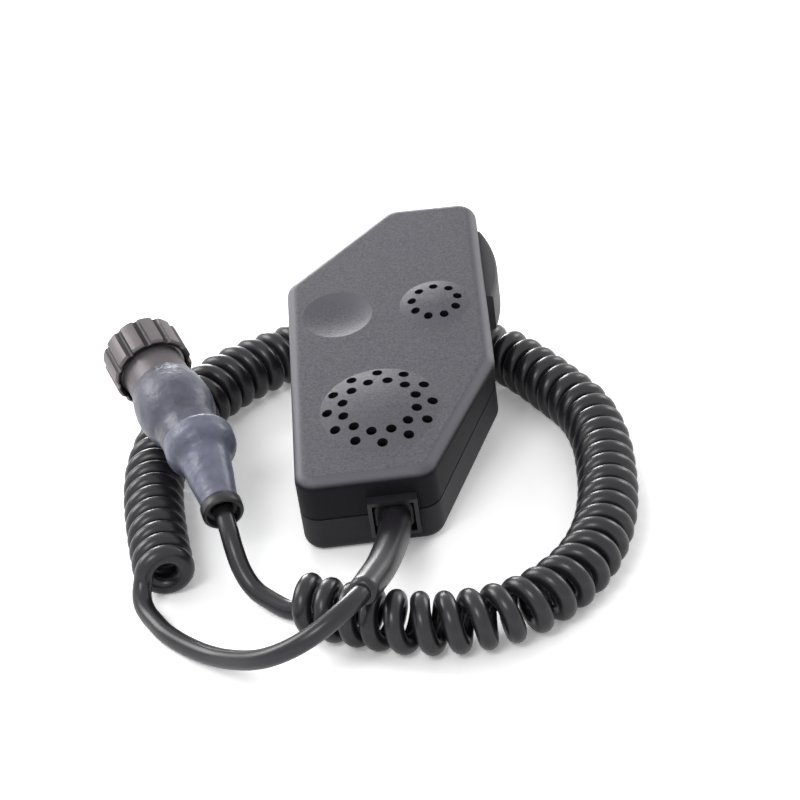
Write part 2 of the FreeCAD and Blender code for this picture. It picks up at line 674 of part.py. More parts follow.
def case_screws():
    """Four screws up through the back into the front shell's bosses."""
    group = []
    sink = back + 3.0
    for number, (x, y) in enumerate(screw_spots, start=1):
        shank = doc.addObject("Part::Cylinder", f"case_screw_shank_{number}")
        bind(shank, "Radius", S.screw_radius)
        bind(shank, "Height", seal_top + 7 - sink)
        place(shank, (x, y, sink))
        head = doc.addObject("Part::Cone", f"case_screw_head_{number}")
        bind(head, "Radius1", S.screw_head - 0.4)
        bind(head, "Radius2", S.screw_head)
        bind(head, "Height", 2.2)
        place(head, (x, y, sink - 2.2))
        group += [shank, head]
    fused("case_screws", group)


def hang_up_stud():
    """Mushroom stud on the back, and the screw that holds it from inside."""
    body = new_body("hang_up_stud")
    end = back - S.stud_out
    turned(body, "stud", "Revolution",
           [(1.5, back), (S.stud_neck + 1.9, back), (S.stud_neck + 1.9, back - 1.0),
            (S.stud_neck, back - 1.6), (S.stud_neck, end + 2.2), (S.stud_head, end + 1.6),
            (S.stud_head, end + 0.4), (S.stud_head - 0.6, end), (0, end), (0, back - 4.4),
            (1.5, back - 4.4)], (S.stud_x, S.stud_y, 0))
    screw = new_body("stud_screw")
    seat = inner_back + 3.0
    turned(screw, "screw", "Revolution",
           [(0, back - 4.2), (1.5, back - 4.2), (1.5, seat), (2.9, seat), (2.9, seat + 1.8),
            (0, seat + 1.8)], (S.stud_x, S.stud_y, 0))


def cable_entry():
    """Square collar held in the bottom wall, with the round bush that grips the cable's boot."""
    body = new_body("cable_collar")
    outer = -S.case_low - S.collar_out
    inner_wall = S.case_wall - S.case_low
    floor = -S.case_low + 0.2
    block(body, "frame", "AdditiveBox", (collar_low, outer, collar_back),
          (collar_high, inner_wall + 0.6, collar_front))
    block(body, "flange", "AdditiveBox", (collar_low - 1.5, inner_wall, collar_back - 1.5),
          (collar_high + 1.5, inner_wall + 1.4, collar_front + 1.5))
    block(body, "recess", "SubtractiveBox",
          (collar_low + S.collar_wall, outer - 1, collar_back + S.collar_wall),
          (collar_high - S.collar_wall, floor, collar_front - S.collar_wall))
    along(body, "bush_way", "SubtractiveCylinder", (S.collar_x, floor - 0.1, -S.seam_depth),
          S.bush_radius, 8)
    bush = new_body("cable_bush")
    side = S.collar_wall + fit_gap
    block(bush, "cushion", "AdditiveBox", (collar_low + side, floor - 2.4, collar_back + side),
          (collar_high - side, floor, collar_front - side))
    rounded(bush, "cushion_corners", 3.2, lambda edge: edge.BoundBox.YLength > 2)
    rounded(bush, "cushion_lip", 0.9, lambda edge: edge.BoundBox.YMax < float(floor) - 2.3)
    along(bush, "outside", "AdditiveCylinder", (S.collar_x, floor - 0.1, -S.seam_depth),
          S.bush_radius, inner_wall + 1.4 - floor + 0.1)
    along(bush, "inside", "SubtractiveCylinder", (S.collar_x, floor - 3, -S.seam_depth),
          S.relief_radius, 10)
    stop = new_body("cable_stop")
    along(stop, "outside", "AdditiveCylinder", (S.collar_x, inner_wall + 1.4, -S.seam_depth),
          S.relief_radius + 1.8, 1.6)
    along(stop, "inside", "SubtractiveCylinder", (S.collar_x, inner_wall, -S.seam_depth),
          S.relief_radius, 5)


def along(body, name, kind, spot, radius, length):
    """A cylinder along y, towards the case's top."""
    feature = body.newObject("PartDesign::" + kind, name)
    attach(feature, body, "XY_Plane", spot)
    feature.AttachmentOffset = Place(feature.AttachmentOffset.Base, Rotation(Vector(1, 0, 0), -90))
    bind(feature, "Radius", radius)
    bind(feature, "Height", length)
    body.Tip = feature
    return feature


def plug():
    """Plug in its own frame: z forward along the plug, with its zero at the nut's rear end."""
    lip_low, lip_high = 2.6, 4.0
    shank_end, metal_end = -37.0, -35.5
    flange_end = lip_high + 2.4
    nose_end = S.nut_length - 0.8
    body = new_body("plug_body", "plug")
    radius = S.plug_radius
    turned(body, "metal", "Revolution",
           [(7.6, metal_end), (8.6, metal_end), (8.6, -28.4), (S.sleeve_radius - 2.2, -25.5),
            (S.sleeve_radius - 0.9, -19), (radius + 0.3, -11.5), (radius, -10), (radius, 1.5),
            (radius - 0.5, 1.5), (radius - 0.5, lip_low - 0.1), (radius, lip_low - 0.1),
            (radius, lip_high + 0.1), (radius + 0.8, lip_high + 0.1), (radius + 0.8, flange_end),
            (S.nose_radius + 0.5, flange_end), (S.nose_radius + 0.5, flange_end + 1.1),
            (S.nose_radius, flange_end + 1.1), (S.nose_radius, nose_end - 0.5),
            (S.nose_radius - 0.5, nose_end), (7.2, nose_end), (7.2, -3), (7.6, -3)])
    insert = new_body("plug_insert", "plug")
    turned(insert, "disc", "Revolution", [(0, -3), (7.2, -3), (7.2, 5.5), (0, 5.5)])
    ring_of_holes(insert, "pin_ways", size(4.5), size(1.3), 90, (0, 0, 1), 8, 6)
    solid(insert, "middle_way", "SubtractiveCylinder", (0, 0, -4), Radius=0.65, Height=12)
    pins = []
    for number in range(7):
        angle = math.radians(90 + 60 * number)
        ring_at = 4.5 if number < 6 else 0.0
        pin = doc.addObject("Part::Cylinder", f"contact_{number}")
        bind(pin, "Radius", 0.65)
        bind(pin, "Height", 14.5)
        place(pin, (ring_at * math.cos(angle), ring_at * math.sin(angle), -4.5))
        pins.append(pin)
    fused("plug_pins", pins, "plug")
    ring("nut_clip", radius - 0.5, radius + 0.7, size(1.5), lip_low - 0.1, frame="plug")
    ring("plug_seal", S.nose_radius + 0.5, S.nose_radius + 1.8, flange_end, flange_end + 1.1,
         frame="plug")

    nut = new_body("coupling_nut", "plug")
    outer, length = S.nut_radius, S.nut_length
    bore = radius + 0.08
    turned(nut, "ring", "Revolution",
           [(S.thread_radius, 0), (outer - 0.7, 0), (outer, 0.7), (outer, length - 0.7),
            (outer - 0.7, length), (S.thread_radius, length), (S.thread_radius, lip_high),
            (bore, lip_high), (bore, lip_low), (S.thread_radius, lip_low)])
    ring_of_holes(nut, "grooves", outer, S.nut_groove * 2, 15, (0, 0, 0), length + 1,
                  int(float(S.nut_lobes)))

    front = new_body("sleeve_front", "plug")
    widest = S.sleeve_radius
    turned(front, "sleeve", "Revolution",
           [(radius, -10), (radius, -8.5), (radius + 0.5, -8.5), (radius + 0.7, -9.2, size(-33)),
            (widest, -19, size(-19.5)), (widest - 2.0, -27.4, size(9)), (widest - 2.5, -30),
            (widest - 2.5, shank_end), (8.6, shank_end), (8.6, -28.4), (widest - 2.2, -25.5),
            (widest - 0.9, -19), (radius + 0.3, -11.5)])


def tail():
    """Rear sleeve and rubber ring in the tail's frame: z forward, zero at the ring's rear face."""
    cord = S.cord_wire / 2
    end = S.ring_radius
    ring_body = new_body("end_ring", "tail")
    turned(ring_body, "ring", "Revolution",
           [(cord, 0), (end - 0.7, 0), (end, 0.7), (end, 3.8), (end - 0.7, 4.5), (cord, 4.5)])
    sleeve = new_body("sleeve_rear", "tail")
    bulge, thin = S.bulge_radius, S.tail_radius
    turned(sleeve, "sleeve", "Revolution",
           [(cord, 4.5), (thin, 4.5), (thin + 0.1, 6.5), (thin + 0.9, 12.5), (thin + 1.4, 16.0),
            (thin + 1.9, 21.5, size(-4.2)), (bulge - 1.9, 24.6, size(5.2)), (bulge, 28.5),
            (bulge, 31.4, size(2.4)), (bulge - 1.0, 33.3), (bulge - 1.9, 33.0),
            (bulge - 0.9, 31.2), (bulge - 0.9, 28.8), (bulge - 2.8, 25.3), (thin + 1.0, 21.9),
            (thin + 0.5, 16.0), (thin - 1.0, 9.0), (cord, 8.0)])
    mouth = sleeve.newObject("PartDesign::SubtractiveCylinder", "mouth")
    mouth.AttachmentSupport = [(body_plane(sleeve, "XY_Plane"), "")]
    mouth.MapMode = "FlatFace"
    mouth.AttachmentOffset = frames["tail"].inverse() * frames["plug"] * Place(
        Vector(0, 0, -37.2), Rotation())
    bind(mouth, "Radius", S.sleeve_radius - 2.4)
    bind(mouth, "Height", 12)
    sleeve.Tip = mouth


def facing(spot, way):
    """A frame at a spot whose z looks along a way."""
    return Place(spot, Rotation(Vector(0, 0, 1), way))


def unit(way):
    return Vector(way).normalize()


def bent(points, share=0.45):
    """Straight runs and the arcs that touch them, and the tightest arc's radius."""
    edges, tightest = [], math.inf
    here = points[0]
    for before, corner, after in zip(points, points[1:], points[2:]):
        reach = share * min((before - corner).Length, (after - corner).Length)
        back_way, on_way = unit(before - corner), unit(after - corner)
        half = (math.pi - back_way.getAngle(on_way)) / 2
        radius = reach / math.tan(half)
        tightest = min(tightest, radius)
        middle = corner + unit(back_way + on_way) * (radius / math.cos(half) - radius)
        first, last = corner + back_way * reach, corner + on_way * reach
        edges.append(Part.LineSegment(here, first).toShape())
        edges.append(Part.Arc(first, middle, last).toShape())
        here = last
    edges.append(Part.LineSegment(here, points[-1]).toShape())
    return Part.Wire(edges), tightest


def swept(spine, *sections):
    pipe = Part.BRepOffsetAPI.MakePipeShell(spine)
    for section in sections:
        pipe.add(section)
    pipe.build()
    pipe.makeSolid()
    return pipe.shape()


def loop(spot, way, radius):
    return Part.Wire([Part.Circle(spot, way, radius).toShape()])


def tube(label, points, radius, tip_radius=None):
    """A round tube along bent runs, tapering where a second radius is given."""
    spine, tightest = bent(points)
    sections = [loop(points[0], points[1] - points[0], radius)]
    if tip_radius:
        sections.append(loop(points[-1], points[-1] - points[-2], tip_radius))
    shape = swept(spine, *sections)
    middle = (radius + (tip_radius or radius)) / 2
    print(f"{label}: tightest bend {tightest:.1f}, length {spine.Length:.1f}, volume "
          f"{shape.Volume / (math.pi * middle ** 2 * spine.Length):.4f} of section by length")
    return lay(label, shape)


def lay(label, shape):
    """A piece drawn where it lies."""
    feature = doc.addObject("Part::Feature", label)
    feature.Shape = shape
    feature.Placement = Place()
    return keep(label, feature, "lying")


def biarc(start, start_way, end, end_way):
    """Two arcs that touch both ways, as edges."""
    v, t = end - start, start_way + end_way
    spread = 2 * (1 - start_way.dot(end_way))
    if spread < 1e-9:
        d = v.dot(v) / (4 * v.dot(end_way))
    else:
        d = (math.sqrt(v.dot(t) ** 2 + spread * v.dot(v)) - v.dot(t)) / spread
    joint = (start + start_way * d + end - end_way * d) * 0.5
    edges, radii = [], []
    for spot, way, other in ((start, start_way, joint), (end, end_way * -1, joint)):
        chord = other - spot
        across_way = chord - way * chord.dot(way)
        radius = chord.Length ** 2 / (2 * across_way.Length)
        centre = spot + unit(across_way) * radius
        middle = centre + unit((spot - centre) + (other - centre)) * radius
        ends = (spot, middle, other) if spot is start else (other, middle, spot)
        edges.append(Part.Arc(*ends).toShape())
        radii.append(radius)
    return edges, radii


# Where the curls lie: control points of their axis on the table, end over end. A third value is
# how much the curls stand out further there, as they do where the cord is twisted open.
CURL_AXIS = [(-73.8, -78.4), (-80.2, -38), (-77.4, -6, 0.5), (-62.5, 26, 1.3), (-36.5, 46.9, 0.3),
             (-5, 57), (31, 35), (41, 21), (49, 5.8), (56.6, -9), (59.4, -27.5), (59.2, -43),
             (58, -60.3), (54.3, -77.7), (47.6, -93), (38.5, -104), (29.5, -110.6), (20, -114.1),
             (9, -115.3), (-1, -114.2), (-8.5, -111.7), (-15, -108.7), (-22.3, -105.2),
             (-29, -101.4), (-33.4, -98.9)]


class Axis:
    """The curls' axis, by length: parabolas between the middles of its control runs. It lies as
    high over the table as the curls are wide to one side."""

    def __init__(self, half_width, wire):
        corners = [Vector(spot[0], spot[1], half_width + sum(spot[2:])) for spot in CURL_AXIS]
        inner = corners[1:-1]
        joints = [corners[0]] + [(a + b) * 0.5 for a, b in zip(inner, inner[1:])] + [corners[-1]]
        self.spots = []
        for a, corner, b in zip(joints, inner, joints[1:]):
            for step in range(60):
                t = step / 60
                self.spots.append(a * (1 - t) ** 2 + corner * (2 * t * (1 - t)) + b * t ** 2)
        self.spots.append(corners[-1])
        self.reach = [0.0]
        for a, b in zip(self.spots, self.spots[1:]):
            self.reach.append(self.reach[-1] + (b - a).Length)
        self.ways = [unit(self.spots[min(n + 1, len(self.spots) - 1)] - self.spots[max(n - 1, 0)])
                     for n in range(len(self.spots))]
        self.length = self.reach[-1]
        self.pace = [0.0]
        for n, (a, b) in enumerate(zip(self.reach, self.reach[1:])):
            turned_by = self.ways[n].getAngle(self.ways[n + 1])
            inward = CURL_EASE * (half_width - wire / 2) * turned_by
            self.pace.append(self.pace[-1] + (b - a) - inward)

    def after(self, turn, turns):
        """Point and way after so many curls: they stand further apart where the axis bends."""
        goal = self.pace[-1] * turn / turns
        if goal <= 0 or goal >= self.pace[-1]:
            return self.at(goal if goal <= 0 else self.length + goal - self.pace[-1])
        n = bisect.bisect_right(self.pace, goal) - 1
        share = (goal - self.pace[n]) / (self.pace[n + 1] - self.pace[n])
        return self.at(self.reach[n] + (self.reach[n + 1] - self.reach[n]) * share)

    def at(self, distance):
        """Point and way at a distance, straight on past the ends."""
        if distance <= 0:
            return self.spots[0] + self.ways[0] * distance, self.ways[0]
        if distance >= self.length:
            return self.spots[-1] + self.ways[-1] * (distance - self.length), self.ways[-1]
        n = bisect.bisect_right(self.reach, distance) - 1
        share = (distance - self.reach[n]) / (self.reach[n + 1] - self.reach[n])
        spot = self.spots[n] + (self.spots[n + 1] - self.spots[n]) * share
        return spot, unit(self.ways[n] * (1 - share) + self.ways[n + 1] * share)


def curls():
    """The curly cord in one piece: straight end, curls, straight end, five-sided in section."""
    wire = float(S.cord_wire)
    turns = float(S.coil_turns)
    axis = Axis(float(S.coil_outside) / 2, wire)
    pitch = axis.pace[-1] / turns
    upward = Vector(0, 0, 1)

    def on_curl(turn):
        spot, way = axis.after(turn, turns)
        right = unit(way.cross(upward))
        angle = math.pi + 2 * math.pi * turn
        out = right * math.cos(angle) - upward * math.sin(angle)
        return spot + out * (spot.z - wire / 2)

    steps = round(turns * CURL_STEPS)
    spots = [on_curl(turns * n / steps) for n in range(steps + 1)]
    small = 0.02
    ways = [unit(on_curl(turns * n / steps + small) - on_curl(turns * n / steps - small))
            for n in range(steps + 1)]
    first, last = Vector(*curl_start), Vector(*curl_end)
    first_way, last_way = unit(Vector(*curl_start_way)), unit(Vector(*curl_end_way))
    spots = [first] + spots + [last]
    ways = [first_way] + ways + [last_way]
    start = first - first_way * wire
    end = last + last_way * wire
    edges, radii = [Part.LineSegment(start, first).toShape()], []
    for n in range(len(spots) - 1):
        pair, sizes = biarc(spots[n], ways[n], spots[n + 1], ways[n + 1])
        edges += pair
        radii.append(min(sizes))
    edges.append(Part.LineSegment(last, end).toShape())

    track = [edge.valueAt(edge.FirstParameter + (edge.LastParameter - edge.FirstParameter) * k / 4)
             for edge in edges for k in range(4)]
    window = CURL_STEPS * 2 * 4
    least, tight = min(((track[n] - track[m]).Length - wire, n) for n in range(len(track))
                       for m in range(n + window // 2, min(n + window * 3 // 2, len(track))))
    low = min(spot.z for spot in track) - wire / 2
    print(f"curly_cord: {turns} curls, pitch {pitch:.2f}, tightest {min(radii):.2f}, end bends "
          f"{radii[0]:.2f} and {radii[-1]:.2f}, least gap {least:.2f} at {track[tight].x:.0f}, "
          f"{track[tight].y:.0f}, lowest {low:.2f}")
    corner = first_way.cross(upward)
    rise = corner.cross(first_way)
    five = [start + (corner * math.cos(a) + rise * math.sin(a)) * (wire / 2)
            for a in (math.radians(90 + 72 * k) for k in range(5))]
    shape = swept(Part.Wire(edges), Part.makePolygon(five + five[:1]))
    print(f"curly_cord: valid {shape.isValid()}, volume {shape.Volume:.0f}")
    lay("curly_cord", shape)
    return start, end


# Where the plug and its tail lie
nut_rear = Vector(-76.71, -1.46, 33.5)
sleeve_joint = Vector(-65.83, -29.69, 27.6)
tail_joint = Vector(-63.09, -33.44, 27.2)
tail_end = Vector(-55.62, -64.30, 19.2)
tail_way = unit(tail_joint - tail_end)
frames = {"plug": facing(nut_rear, nut_rear - sleeve_joint), "tail": facing(tail_end, tail_way)}

CURL_STEPS = 4
CURL_EASE = 0.75
curl_start, curl_start_way = (-79.6, -87.2, 2.9), (-0.46, 0.888, 0)
curl_end, curl_end_way = (-39.6, -91.6, 3.0), (-0.709, 0.7, 0.087)

front_shell()
rear_shell()
case_seal()
speaker()
capsule()
circuit_board()
switch()
talk_bar()
case_screws()
hang_up_stud()
cable_entry()
plug()
tail()
doc.recompute()

# The case rests on its rear lower edge and, near its top end, on the curls
lying = Rotation(Vector(1, 0, 0), float(S.seat_pitch)) * Rotation(Vector(0, 1, 0), -float(S.seat_roll))
spots = [lying.multVec(spot)
         for label in ("front_shell", "rear_shell", "talk_bar", "cable_collar")
         for spot in pieces[label][0].Shape.tessellate(0.2)[0]]
middle = [(min(one[k] for one in spots) + max(one[k] for one in spots)) / 2 for k in (0, 1)]
case_base = Vector(-middle[0], -middle[1], -min(one.z for one in spots))
frames["case"] = Place(case_base, lying)
frames["lying"] = Place()
print("case base", [round(one, 3) for one in case_base])


def in_case(x, y, z):
    return frames["case"].multVec(Vector(float(x), float(y), float(z)))


# The cord, from the collar through the curls to the plug's tail
wire = float(S.cord_wire) / 2
relief = [in_case(S.collar_x, -25, -S.seam_depth), in_case(S.collar_x, -38, -S.seam_depth),
          Vector(-7.4, -84.0, 15.8), Vector(-10.2, -101.4, 20.8), Vector(-13.5, -112.2, 23.4)]
tube("strain_relief", relief, float(S.relief_radius), float(S.relief_tip))
curl_from, curl_to = curls()
on_way = unit(relief[-1] - relief[-2])
tube("mic_lead",
     [relief[-1], relief[-1] + on_way * 9, Vector(-21.8, -127.4, 24.6), Vector(-28.8, -131.4, 21.6),
      Vector(-36.6, -131.8, 17.2), Vector(-44.8, -128.6, 12.4), Vector(-52.2, -121.9, 8.0),
      Vector(-59.4, -114.2, 4.4), Vector(-66.8, -106.6, 3.0),
      curl_from - unit(Vector(*curl_start_way)) * 7.6, curl_from], wire)
tube("plug_lead",
     [tail_end + tail_way * 3.5, tail_end - tail_way * 5, Vector(-53.2, -74.9, 13.6),
      Vector(-51.2, -79.3, 8.0), curl_to + unit(Vector(*curl_end_way)) * 6, curl_to], wire)

for label, (thing, frame) in pieces.items():
    thing.Placement = frames[frame]
doc.recompute()

for thing in doc.Objects:
    if "Invalid" in thing.State or "Error" in thing.State:
        raise RuntimeError(f"{thing.Label} did not compute: {thing.State}")
os.makedirs("parts", exist_ok=True)
for label, (thing, _) in pieces.items():
    shape = thing.Shape
    if shape.isNull() or not shape.isValid():
        raise RuntimeError(f"{label} has no sound shape")
    shape.exportStep(f"parts/{label}.step")
    print(label, len(shape.Solids), round(shape.Volume, 1))
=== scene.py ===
"""Finishes, cord and stage of a handheld microphone on a curly cord."""

import math

import bmesh
import bpy
from bpy.props import FloatProperty, FloatVectorProperty, PointerProperty
from mathutils import Matrix, Vector


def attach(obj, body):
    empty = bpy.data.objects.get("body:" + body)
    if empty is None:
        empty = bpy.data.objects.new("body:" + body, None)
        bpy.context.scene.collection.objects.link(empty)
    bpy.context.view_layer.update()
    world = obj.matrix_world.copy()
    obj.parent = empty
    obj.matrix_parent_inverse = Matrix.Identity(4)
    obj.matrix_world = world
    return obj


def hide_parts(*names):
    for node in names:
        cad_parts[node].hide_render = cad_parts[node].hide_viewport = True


bl_info = {
    "name": "Handheld microphone",
    "version": (1, 0, 0),
    "blender": (4, 5, 0),
    "location": "View3D > Sidebar > Microphone",
    "description": "Finishes, cord and stage of a speaker microphone with a curly cord",
    "category": "Object",
}

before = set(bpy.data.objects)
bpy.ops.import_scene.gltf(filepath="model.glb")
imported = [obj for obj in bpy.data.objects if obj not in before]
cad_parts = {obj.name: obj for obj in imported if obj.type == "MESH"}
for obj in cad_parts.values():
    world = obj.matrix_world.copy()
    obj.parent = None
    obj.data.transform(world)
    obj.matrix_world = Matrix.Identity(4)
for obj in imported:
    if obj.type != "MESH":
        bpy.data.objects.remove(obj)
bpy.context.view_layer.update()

MM = 0.001
UP = Vector((0, 0, 1))
WHITE = (1, 1, 1, 1)

# The axis of the plug's tail and of its end ring, and the ring's section as radius and depth,
# in millimetres
TAIL_SPOT = (-55.62, -64.30, 19.2)
TAIL_WAY = (-0.228, 0.942, 0.244)
RING_SECTION = [(2.7, 2.4), (4.5, 2.4), (4.75, 2.2), (5.0, 0.35), (5.15, 0.1), (5.4, 0.0),
                (5.7, 0.05), (6.05, 0.3), (6.25, 0.6), (6.3, 1.0), (6.3, 3.8), (5.95, 4.15),
                (5.6, 4.5), (2.7, 4.5)]
RING_AROUND = 64

# The coupling nut's axis, in metres, the colour of the painted shade in its grooves, and how
# deep in the grooves that painted shade begins and covers all
NUT_SPOT = (-0.07671, -0.00146, 0.0335)
NUT_WAY = (-0.352972, 0.9158456, 0.1914095)
GROOVE_SHADE = "#17151A"
GROOVE_SHADE_BEGINS, GROOVE_SHADE_COVERS = 0.35 * MM, 1.2 * MM

# Upward share of the surface's direction over which the front shell goes from wall to edge and
# from edge to face, and how strongly wall and face shine. The walls' darker colour is painted
# shade, and the edges' paler colour a painted highlight
WALL_TO_EDGE = (0.15, 0.5)
EDGE_TO_FACE = (0.9, 0.98)
WALL_SHINE, FACE_SHINE = 0.1, 0.5

# How finely the noise of a grain and that of patches is divided
GRAIN_DETAIL, PATCH_DETAIL = 2.0, 3.0

# A Mix node has its colour sockets under these numbers
COLOUR_A, COLOUR_B, COLOUR_OUT = 6, 7, 2


def linear(code):
    """Linear colour of an sRGB hex value."""
    parts = [int(code[k:k + 2], 16) / 255 for k in (1, 3, 5)]
    return [c / 12.92 if c <= 0.04045 else ((c + 0.055) / 1.055) ** 2.4 for c in parts]


class MicrophoneSizes(bpy.types.PropertyGroup):
    """Sizes of the cord, the relief, the nut and the case's grain"""
    cord_wire: FloatProperty(
        name="Cord", description="Diameter of the cord's sheath", default=5.7 * MM,
        unit="LENGTH", precision=4)
    coil_outside: FloatProperty(
        name="Curls", description="Outer diameter of the curls", default=18.2 * MM,
        unit="LENGTH", precision=4)
    coil_turns: FloatProperty(
        name="Turns", description="Number of curls", default=62.5)
    cord_length: FloatProperty(
        name="Cord length", description="Length of the wire, curls unrolled", default=2.80,
        unit="LENGTH", precision=3)
    relief_length: FloatProperty(
        name="Relief length", description="Length of the strain relief", default=57.0 * MM,
        unit="LENGTH", precision=4)
    relief_end: FloatProperty(
        name="Relief", description="Diameter of the strain relief at the collar",
        default=10.0 * MM, unit="LENGTH", precision=4)
    relief_tip: FloatProperty(
        name="Relief tip", description="Diameter of the strain relief at its tip",
        default=8.7 * MM, unit="LENGTH", precision=4)
    relief_thinning: FloatProperty(
        name="Relief thinning", description="Length over which the strain relief's tip thins out",
        default=2.5 * MM, unit="LENGTH", precision=4)
    nut_outside: FloatProperty(
        name="Nut", description="Diameter of the coupling nut over its lobes", default=25.2 * MM,
        unit="LENGTH", precision=4)
    spark_grain: FloatProperty(
        name="Spark grain", description="Grain of the case's eroded texture",
        default=0.45 * MM, unit="LENGTH", precision=5)


def tint(label, what, code):
    """A colour of the panel, with its default as an sRGB hex value."""
    return FloatVectorProperty(name=label, description=what, subtype="COLOR", size=3,
                               min=0, max=1, default=linear(code))


class MicrophoneColours(bpy.types.PropertyGroup):
    """Colours of what shows from outside"""
    front: tint("Front shell", "Moulded plastic of the face", "#4E4D54")
    # Painted highlight: the rounded edges' colour is paler than the face's
    edges: tint("Edges", "Rubbed edges of the front shell", "#5E5D65")
    # Painted shade: the walls' colour is darker than the face's, where the walls turn from the top
    walls: tint("Front walls", "Moulded plastic of the front shell's walls", "#242327")
    back: tint("Rear shell", "Moulded plastic of the back", "#302F33")
    bar: tint("Talk bar", "Soft skin of the talk bar", "#48474C")
    sheath: tint("Cord", "Sheath of the cord", "#222025")
    shrink: tint("Front sleeve", "Shrunk tube over the plug", "#585A68")
    shrink_rear: tint("Rear sleeve", "Second, thinner tube over the cord's end", "#6A6D80")
    nut: tint("Coupling nut", "Anodised nut", "#6E6769")
    plug: tint("Plug body", "Anodised plug body", "#6A6467")
    floor: tint("Floor", "Table top", "#FAFAFA")


def settings():
    """The sizes and the colours in use."""
    scene = bpy.context.scene
    return scene.microphone_sizes, scene.microphone_colours


def add_node(tree, kind, values=None, links=None):
    """A node with its settings. An input goes by its name or its number, and each link gives it
    the output that feeds it."""
    node = tree.nodes.new(kind)
    for key, value in (values or {}).items():
        if isinstance(key, str) and hasattr(node, key):
            setattr(node, key, value)
        else:
            node.inputs[key].default_value = value
    for key, output in (links or {}).items():
        tree.links.new(output, node.inputs[key])
    return node


def new_material(name, colour, roughness, **more):
    """A material whose surface is one Principled shader; returns it with its tree and shader."""
    material = bpy.data.materials.new(name)
    material.use_nodes = True
    tree = material.node_tree
    shader = tree.nodes["Principled BSDF"]
    shader.inputs["Base Color"].default_value = (*colour, 1)
    shader.inputs["Roughness"].default_value = roughness
    for key, value in more.items():
        shader.inputs[key.replace("_", " ")].default_value = value
    return material, tree, shader


def grain(tree, shader, size, height, detail=GRAIN_DETAIL):
    """Bump of a grain of that size and height, in metres; returns its coordinates."""
    where = add_node(tree, "ShaderNodeTexCoord")
    noise = add_node(tree, "ShaderNodeTexNoise", {"Scale": 1 / size, "Detail": detail},
                     {"Vector": where.outputs["Object"]})
    bump = add_node(tree, "ShaderNodeBump", {"Strength": 1.0, "Distance": height},
                    {"Height": noise.outputs["Fac"]})
    tree.links.new(bump.outputs["Normal"], shader.inputs["Normal"])
    return where


def mottle(tree, shader, where, colour, size, spread):
    """Slow change of the colour over the surface, by a share up and down; returns the colour."""
    noise = add_node(tree, "ShaderNodeTexNoise", {"Scale": 1 / size, "Detail": PATCH_DETAIL},
                     {"Vector": where.outputs["Object"]})
    mix = add_node(tree, "ShaderNodeMix", {
        "data_type": "RGBA",
        COLOUR_A: [c * (1 - spread) for c in colour] + [1],
        COLOUR_B: [min(1, c * (1 + spread)) for c in colour] + [1]},
        {0: noise.outputs["Fac"]})
    tree.links.new(mix.outputs[COLOUR_OUT], shader.inputs["Base Color"])
    return mix.outputs[COLOUR_OUT]


def surface(name, colour, roughness, grain_size, height, patch_size, spread,
            detail=GRAIN_DETAIL, **more):
    """A material with its grain and its slow change of colour; sizes in millimetres."""
    material, tree, shader = new_material(name, colour, roughness, **more)
    where = grain(tree, shader, grain_size * MM, height * MM, detail)
    mottle(tree, shader, where, colour, patch_size * MM, spread)
    return material


def spark_eroded_plastic():
    """ABS from a spark-eroded mould: matt, with a fine grain that breaks up the highlights. The
    walls are painted darker than the face, as painted shade, and the rounded edges paler, as a
    painted highlight. The grain is drawn two to three times as coarse as it is, so that it shows."""
    sizes, colours = settings()
    material, tree, shader = new_material("spark_eroded_abs", colours.front, roughness=0.46)
    where = grain(tree, shader, sizes.spark_grain, height=0.09 * MM)
    face_colour = mottle(tree, shader, where, colours.front, size=0.8 * MM, spread=0.8)
    way = add_node(tree, "ShaderNodeSeparateXYZ", None, {"Vector": where.outputs["Normal"]})
    off_wall, on_face = (
        add_node(tree, "ShaderNodeMapRange", {"From Min": low, "From Max": high},
                 {"Value": way.outputs["Z"]}).outputs["Result"]
        for low, high in (WALL_TO_EDGE, EDGE_TO_FACE))
    # Rounded edges, painted paler than face and walls as a painted highlight
    edges = add_node(tree, "ShaderNodeMix", {"data_type": "RGBA", COLOUR_A: (*colours.edges, 1)},
                     {0: on_face, COLOUR_B: face_colour})
    # Painted shade: surfaces turned away from the top take the darker walls colour
    walls = add_node(tree, "ShaderNodeMix", {"data_type": "RGBA", COLOUR_A: (*colours.walls, 1)},
                     {0: off_wall, COLOUR_B: edges.outputs[COLOUR_OUT]})
    tree.links.new(walls.outputs[COLOUR_OUT], shader.inputs["Base Color"])
    shine = add_node(tree, "ShaderNodeMapRange", {"To Min": WALL_SHINE, "To Max": FACE_SHINE},
                     {"Value": off_wall})
    tree.links.new(shine.outputs["Result"], shader.inputs["Specular IOR Level"])
    return material


def dark_plastic():
    """ABS, darker, from the same kind of mould: a little smoother, with hardly any shine."""
    sizes, colours = settings()
    return surface("dark_moulded_abs", colours.back, roughness=0.5,
                   grain_size=sizes.spark_grain / MM, height=0.02, patch_size=1.2, spread=0.1,
                   Specular_IOR_Level=0.2)


def soft_skin():
    """Thermoplastic rubber, moulded: matt, with a faint grain."""
    _, colours = settings()
    return surface("moulded_soft_rubber", colours.bar, roughness=0.55, grain_size=0.5,
                   height=0.012, patch_size=4, spread=0.15)


def cord_sheath():
    """Extruded polyurethane sheath: smooth and glossy, with long soft highlights."""
    _, colours = settings()
    return surface("extruded_polyurethane", colours.sheath, roughness=0.3, grain_size=1.6,
                   height=0.01, patch_size=6, spread=0.12, detail=1.0)


def shrunk_tube(name, colour):
    """Polyolefin tube shrunk by heat: blue grey, smooth, with shallow waves and pale patches."""
    return surface(name, colour, roughness=0.38, grain_size=4.5, height=0.5, patch_size=4,
                   spread=0.5, detail=3.0)


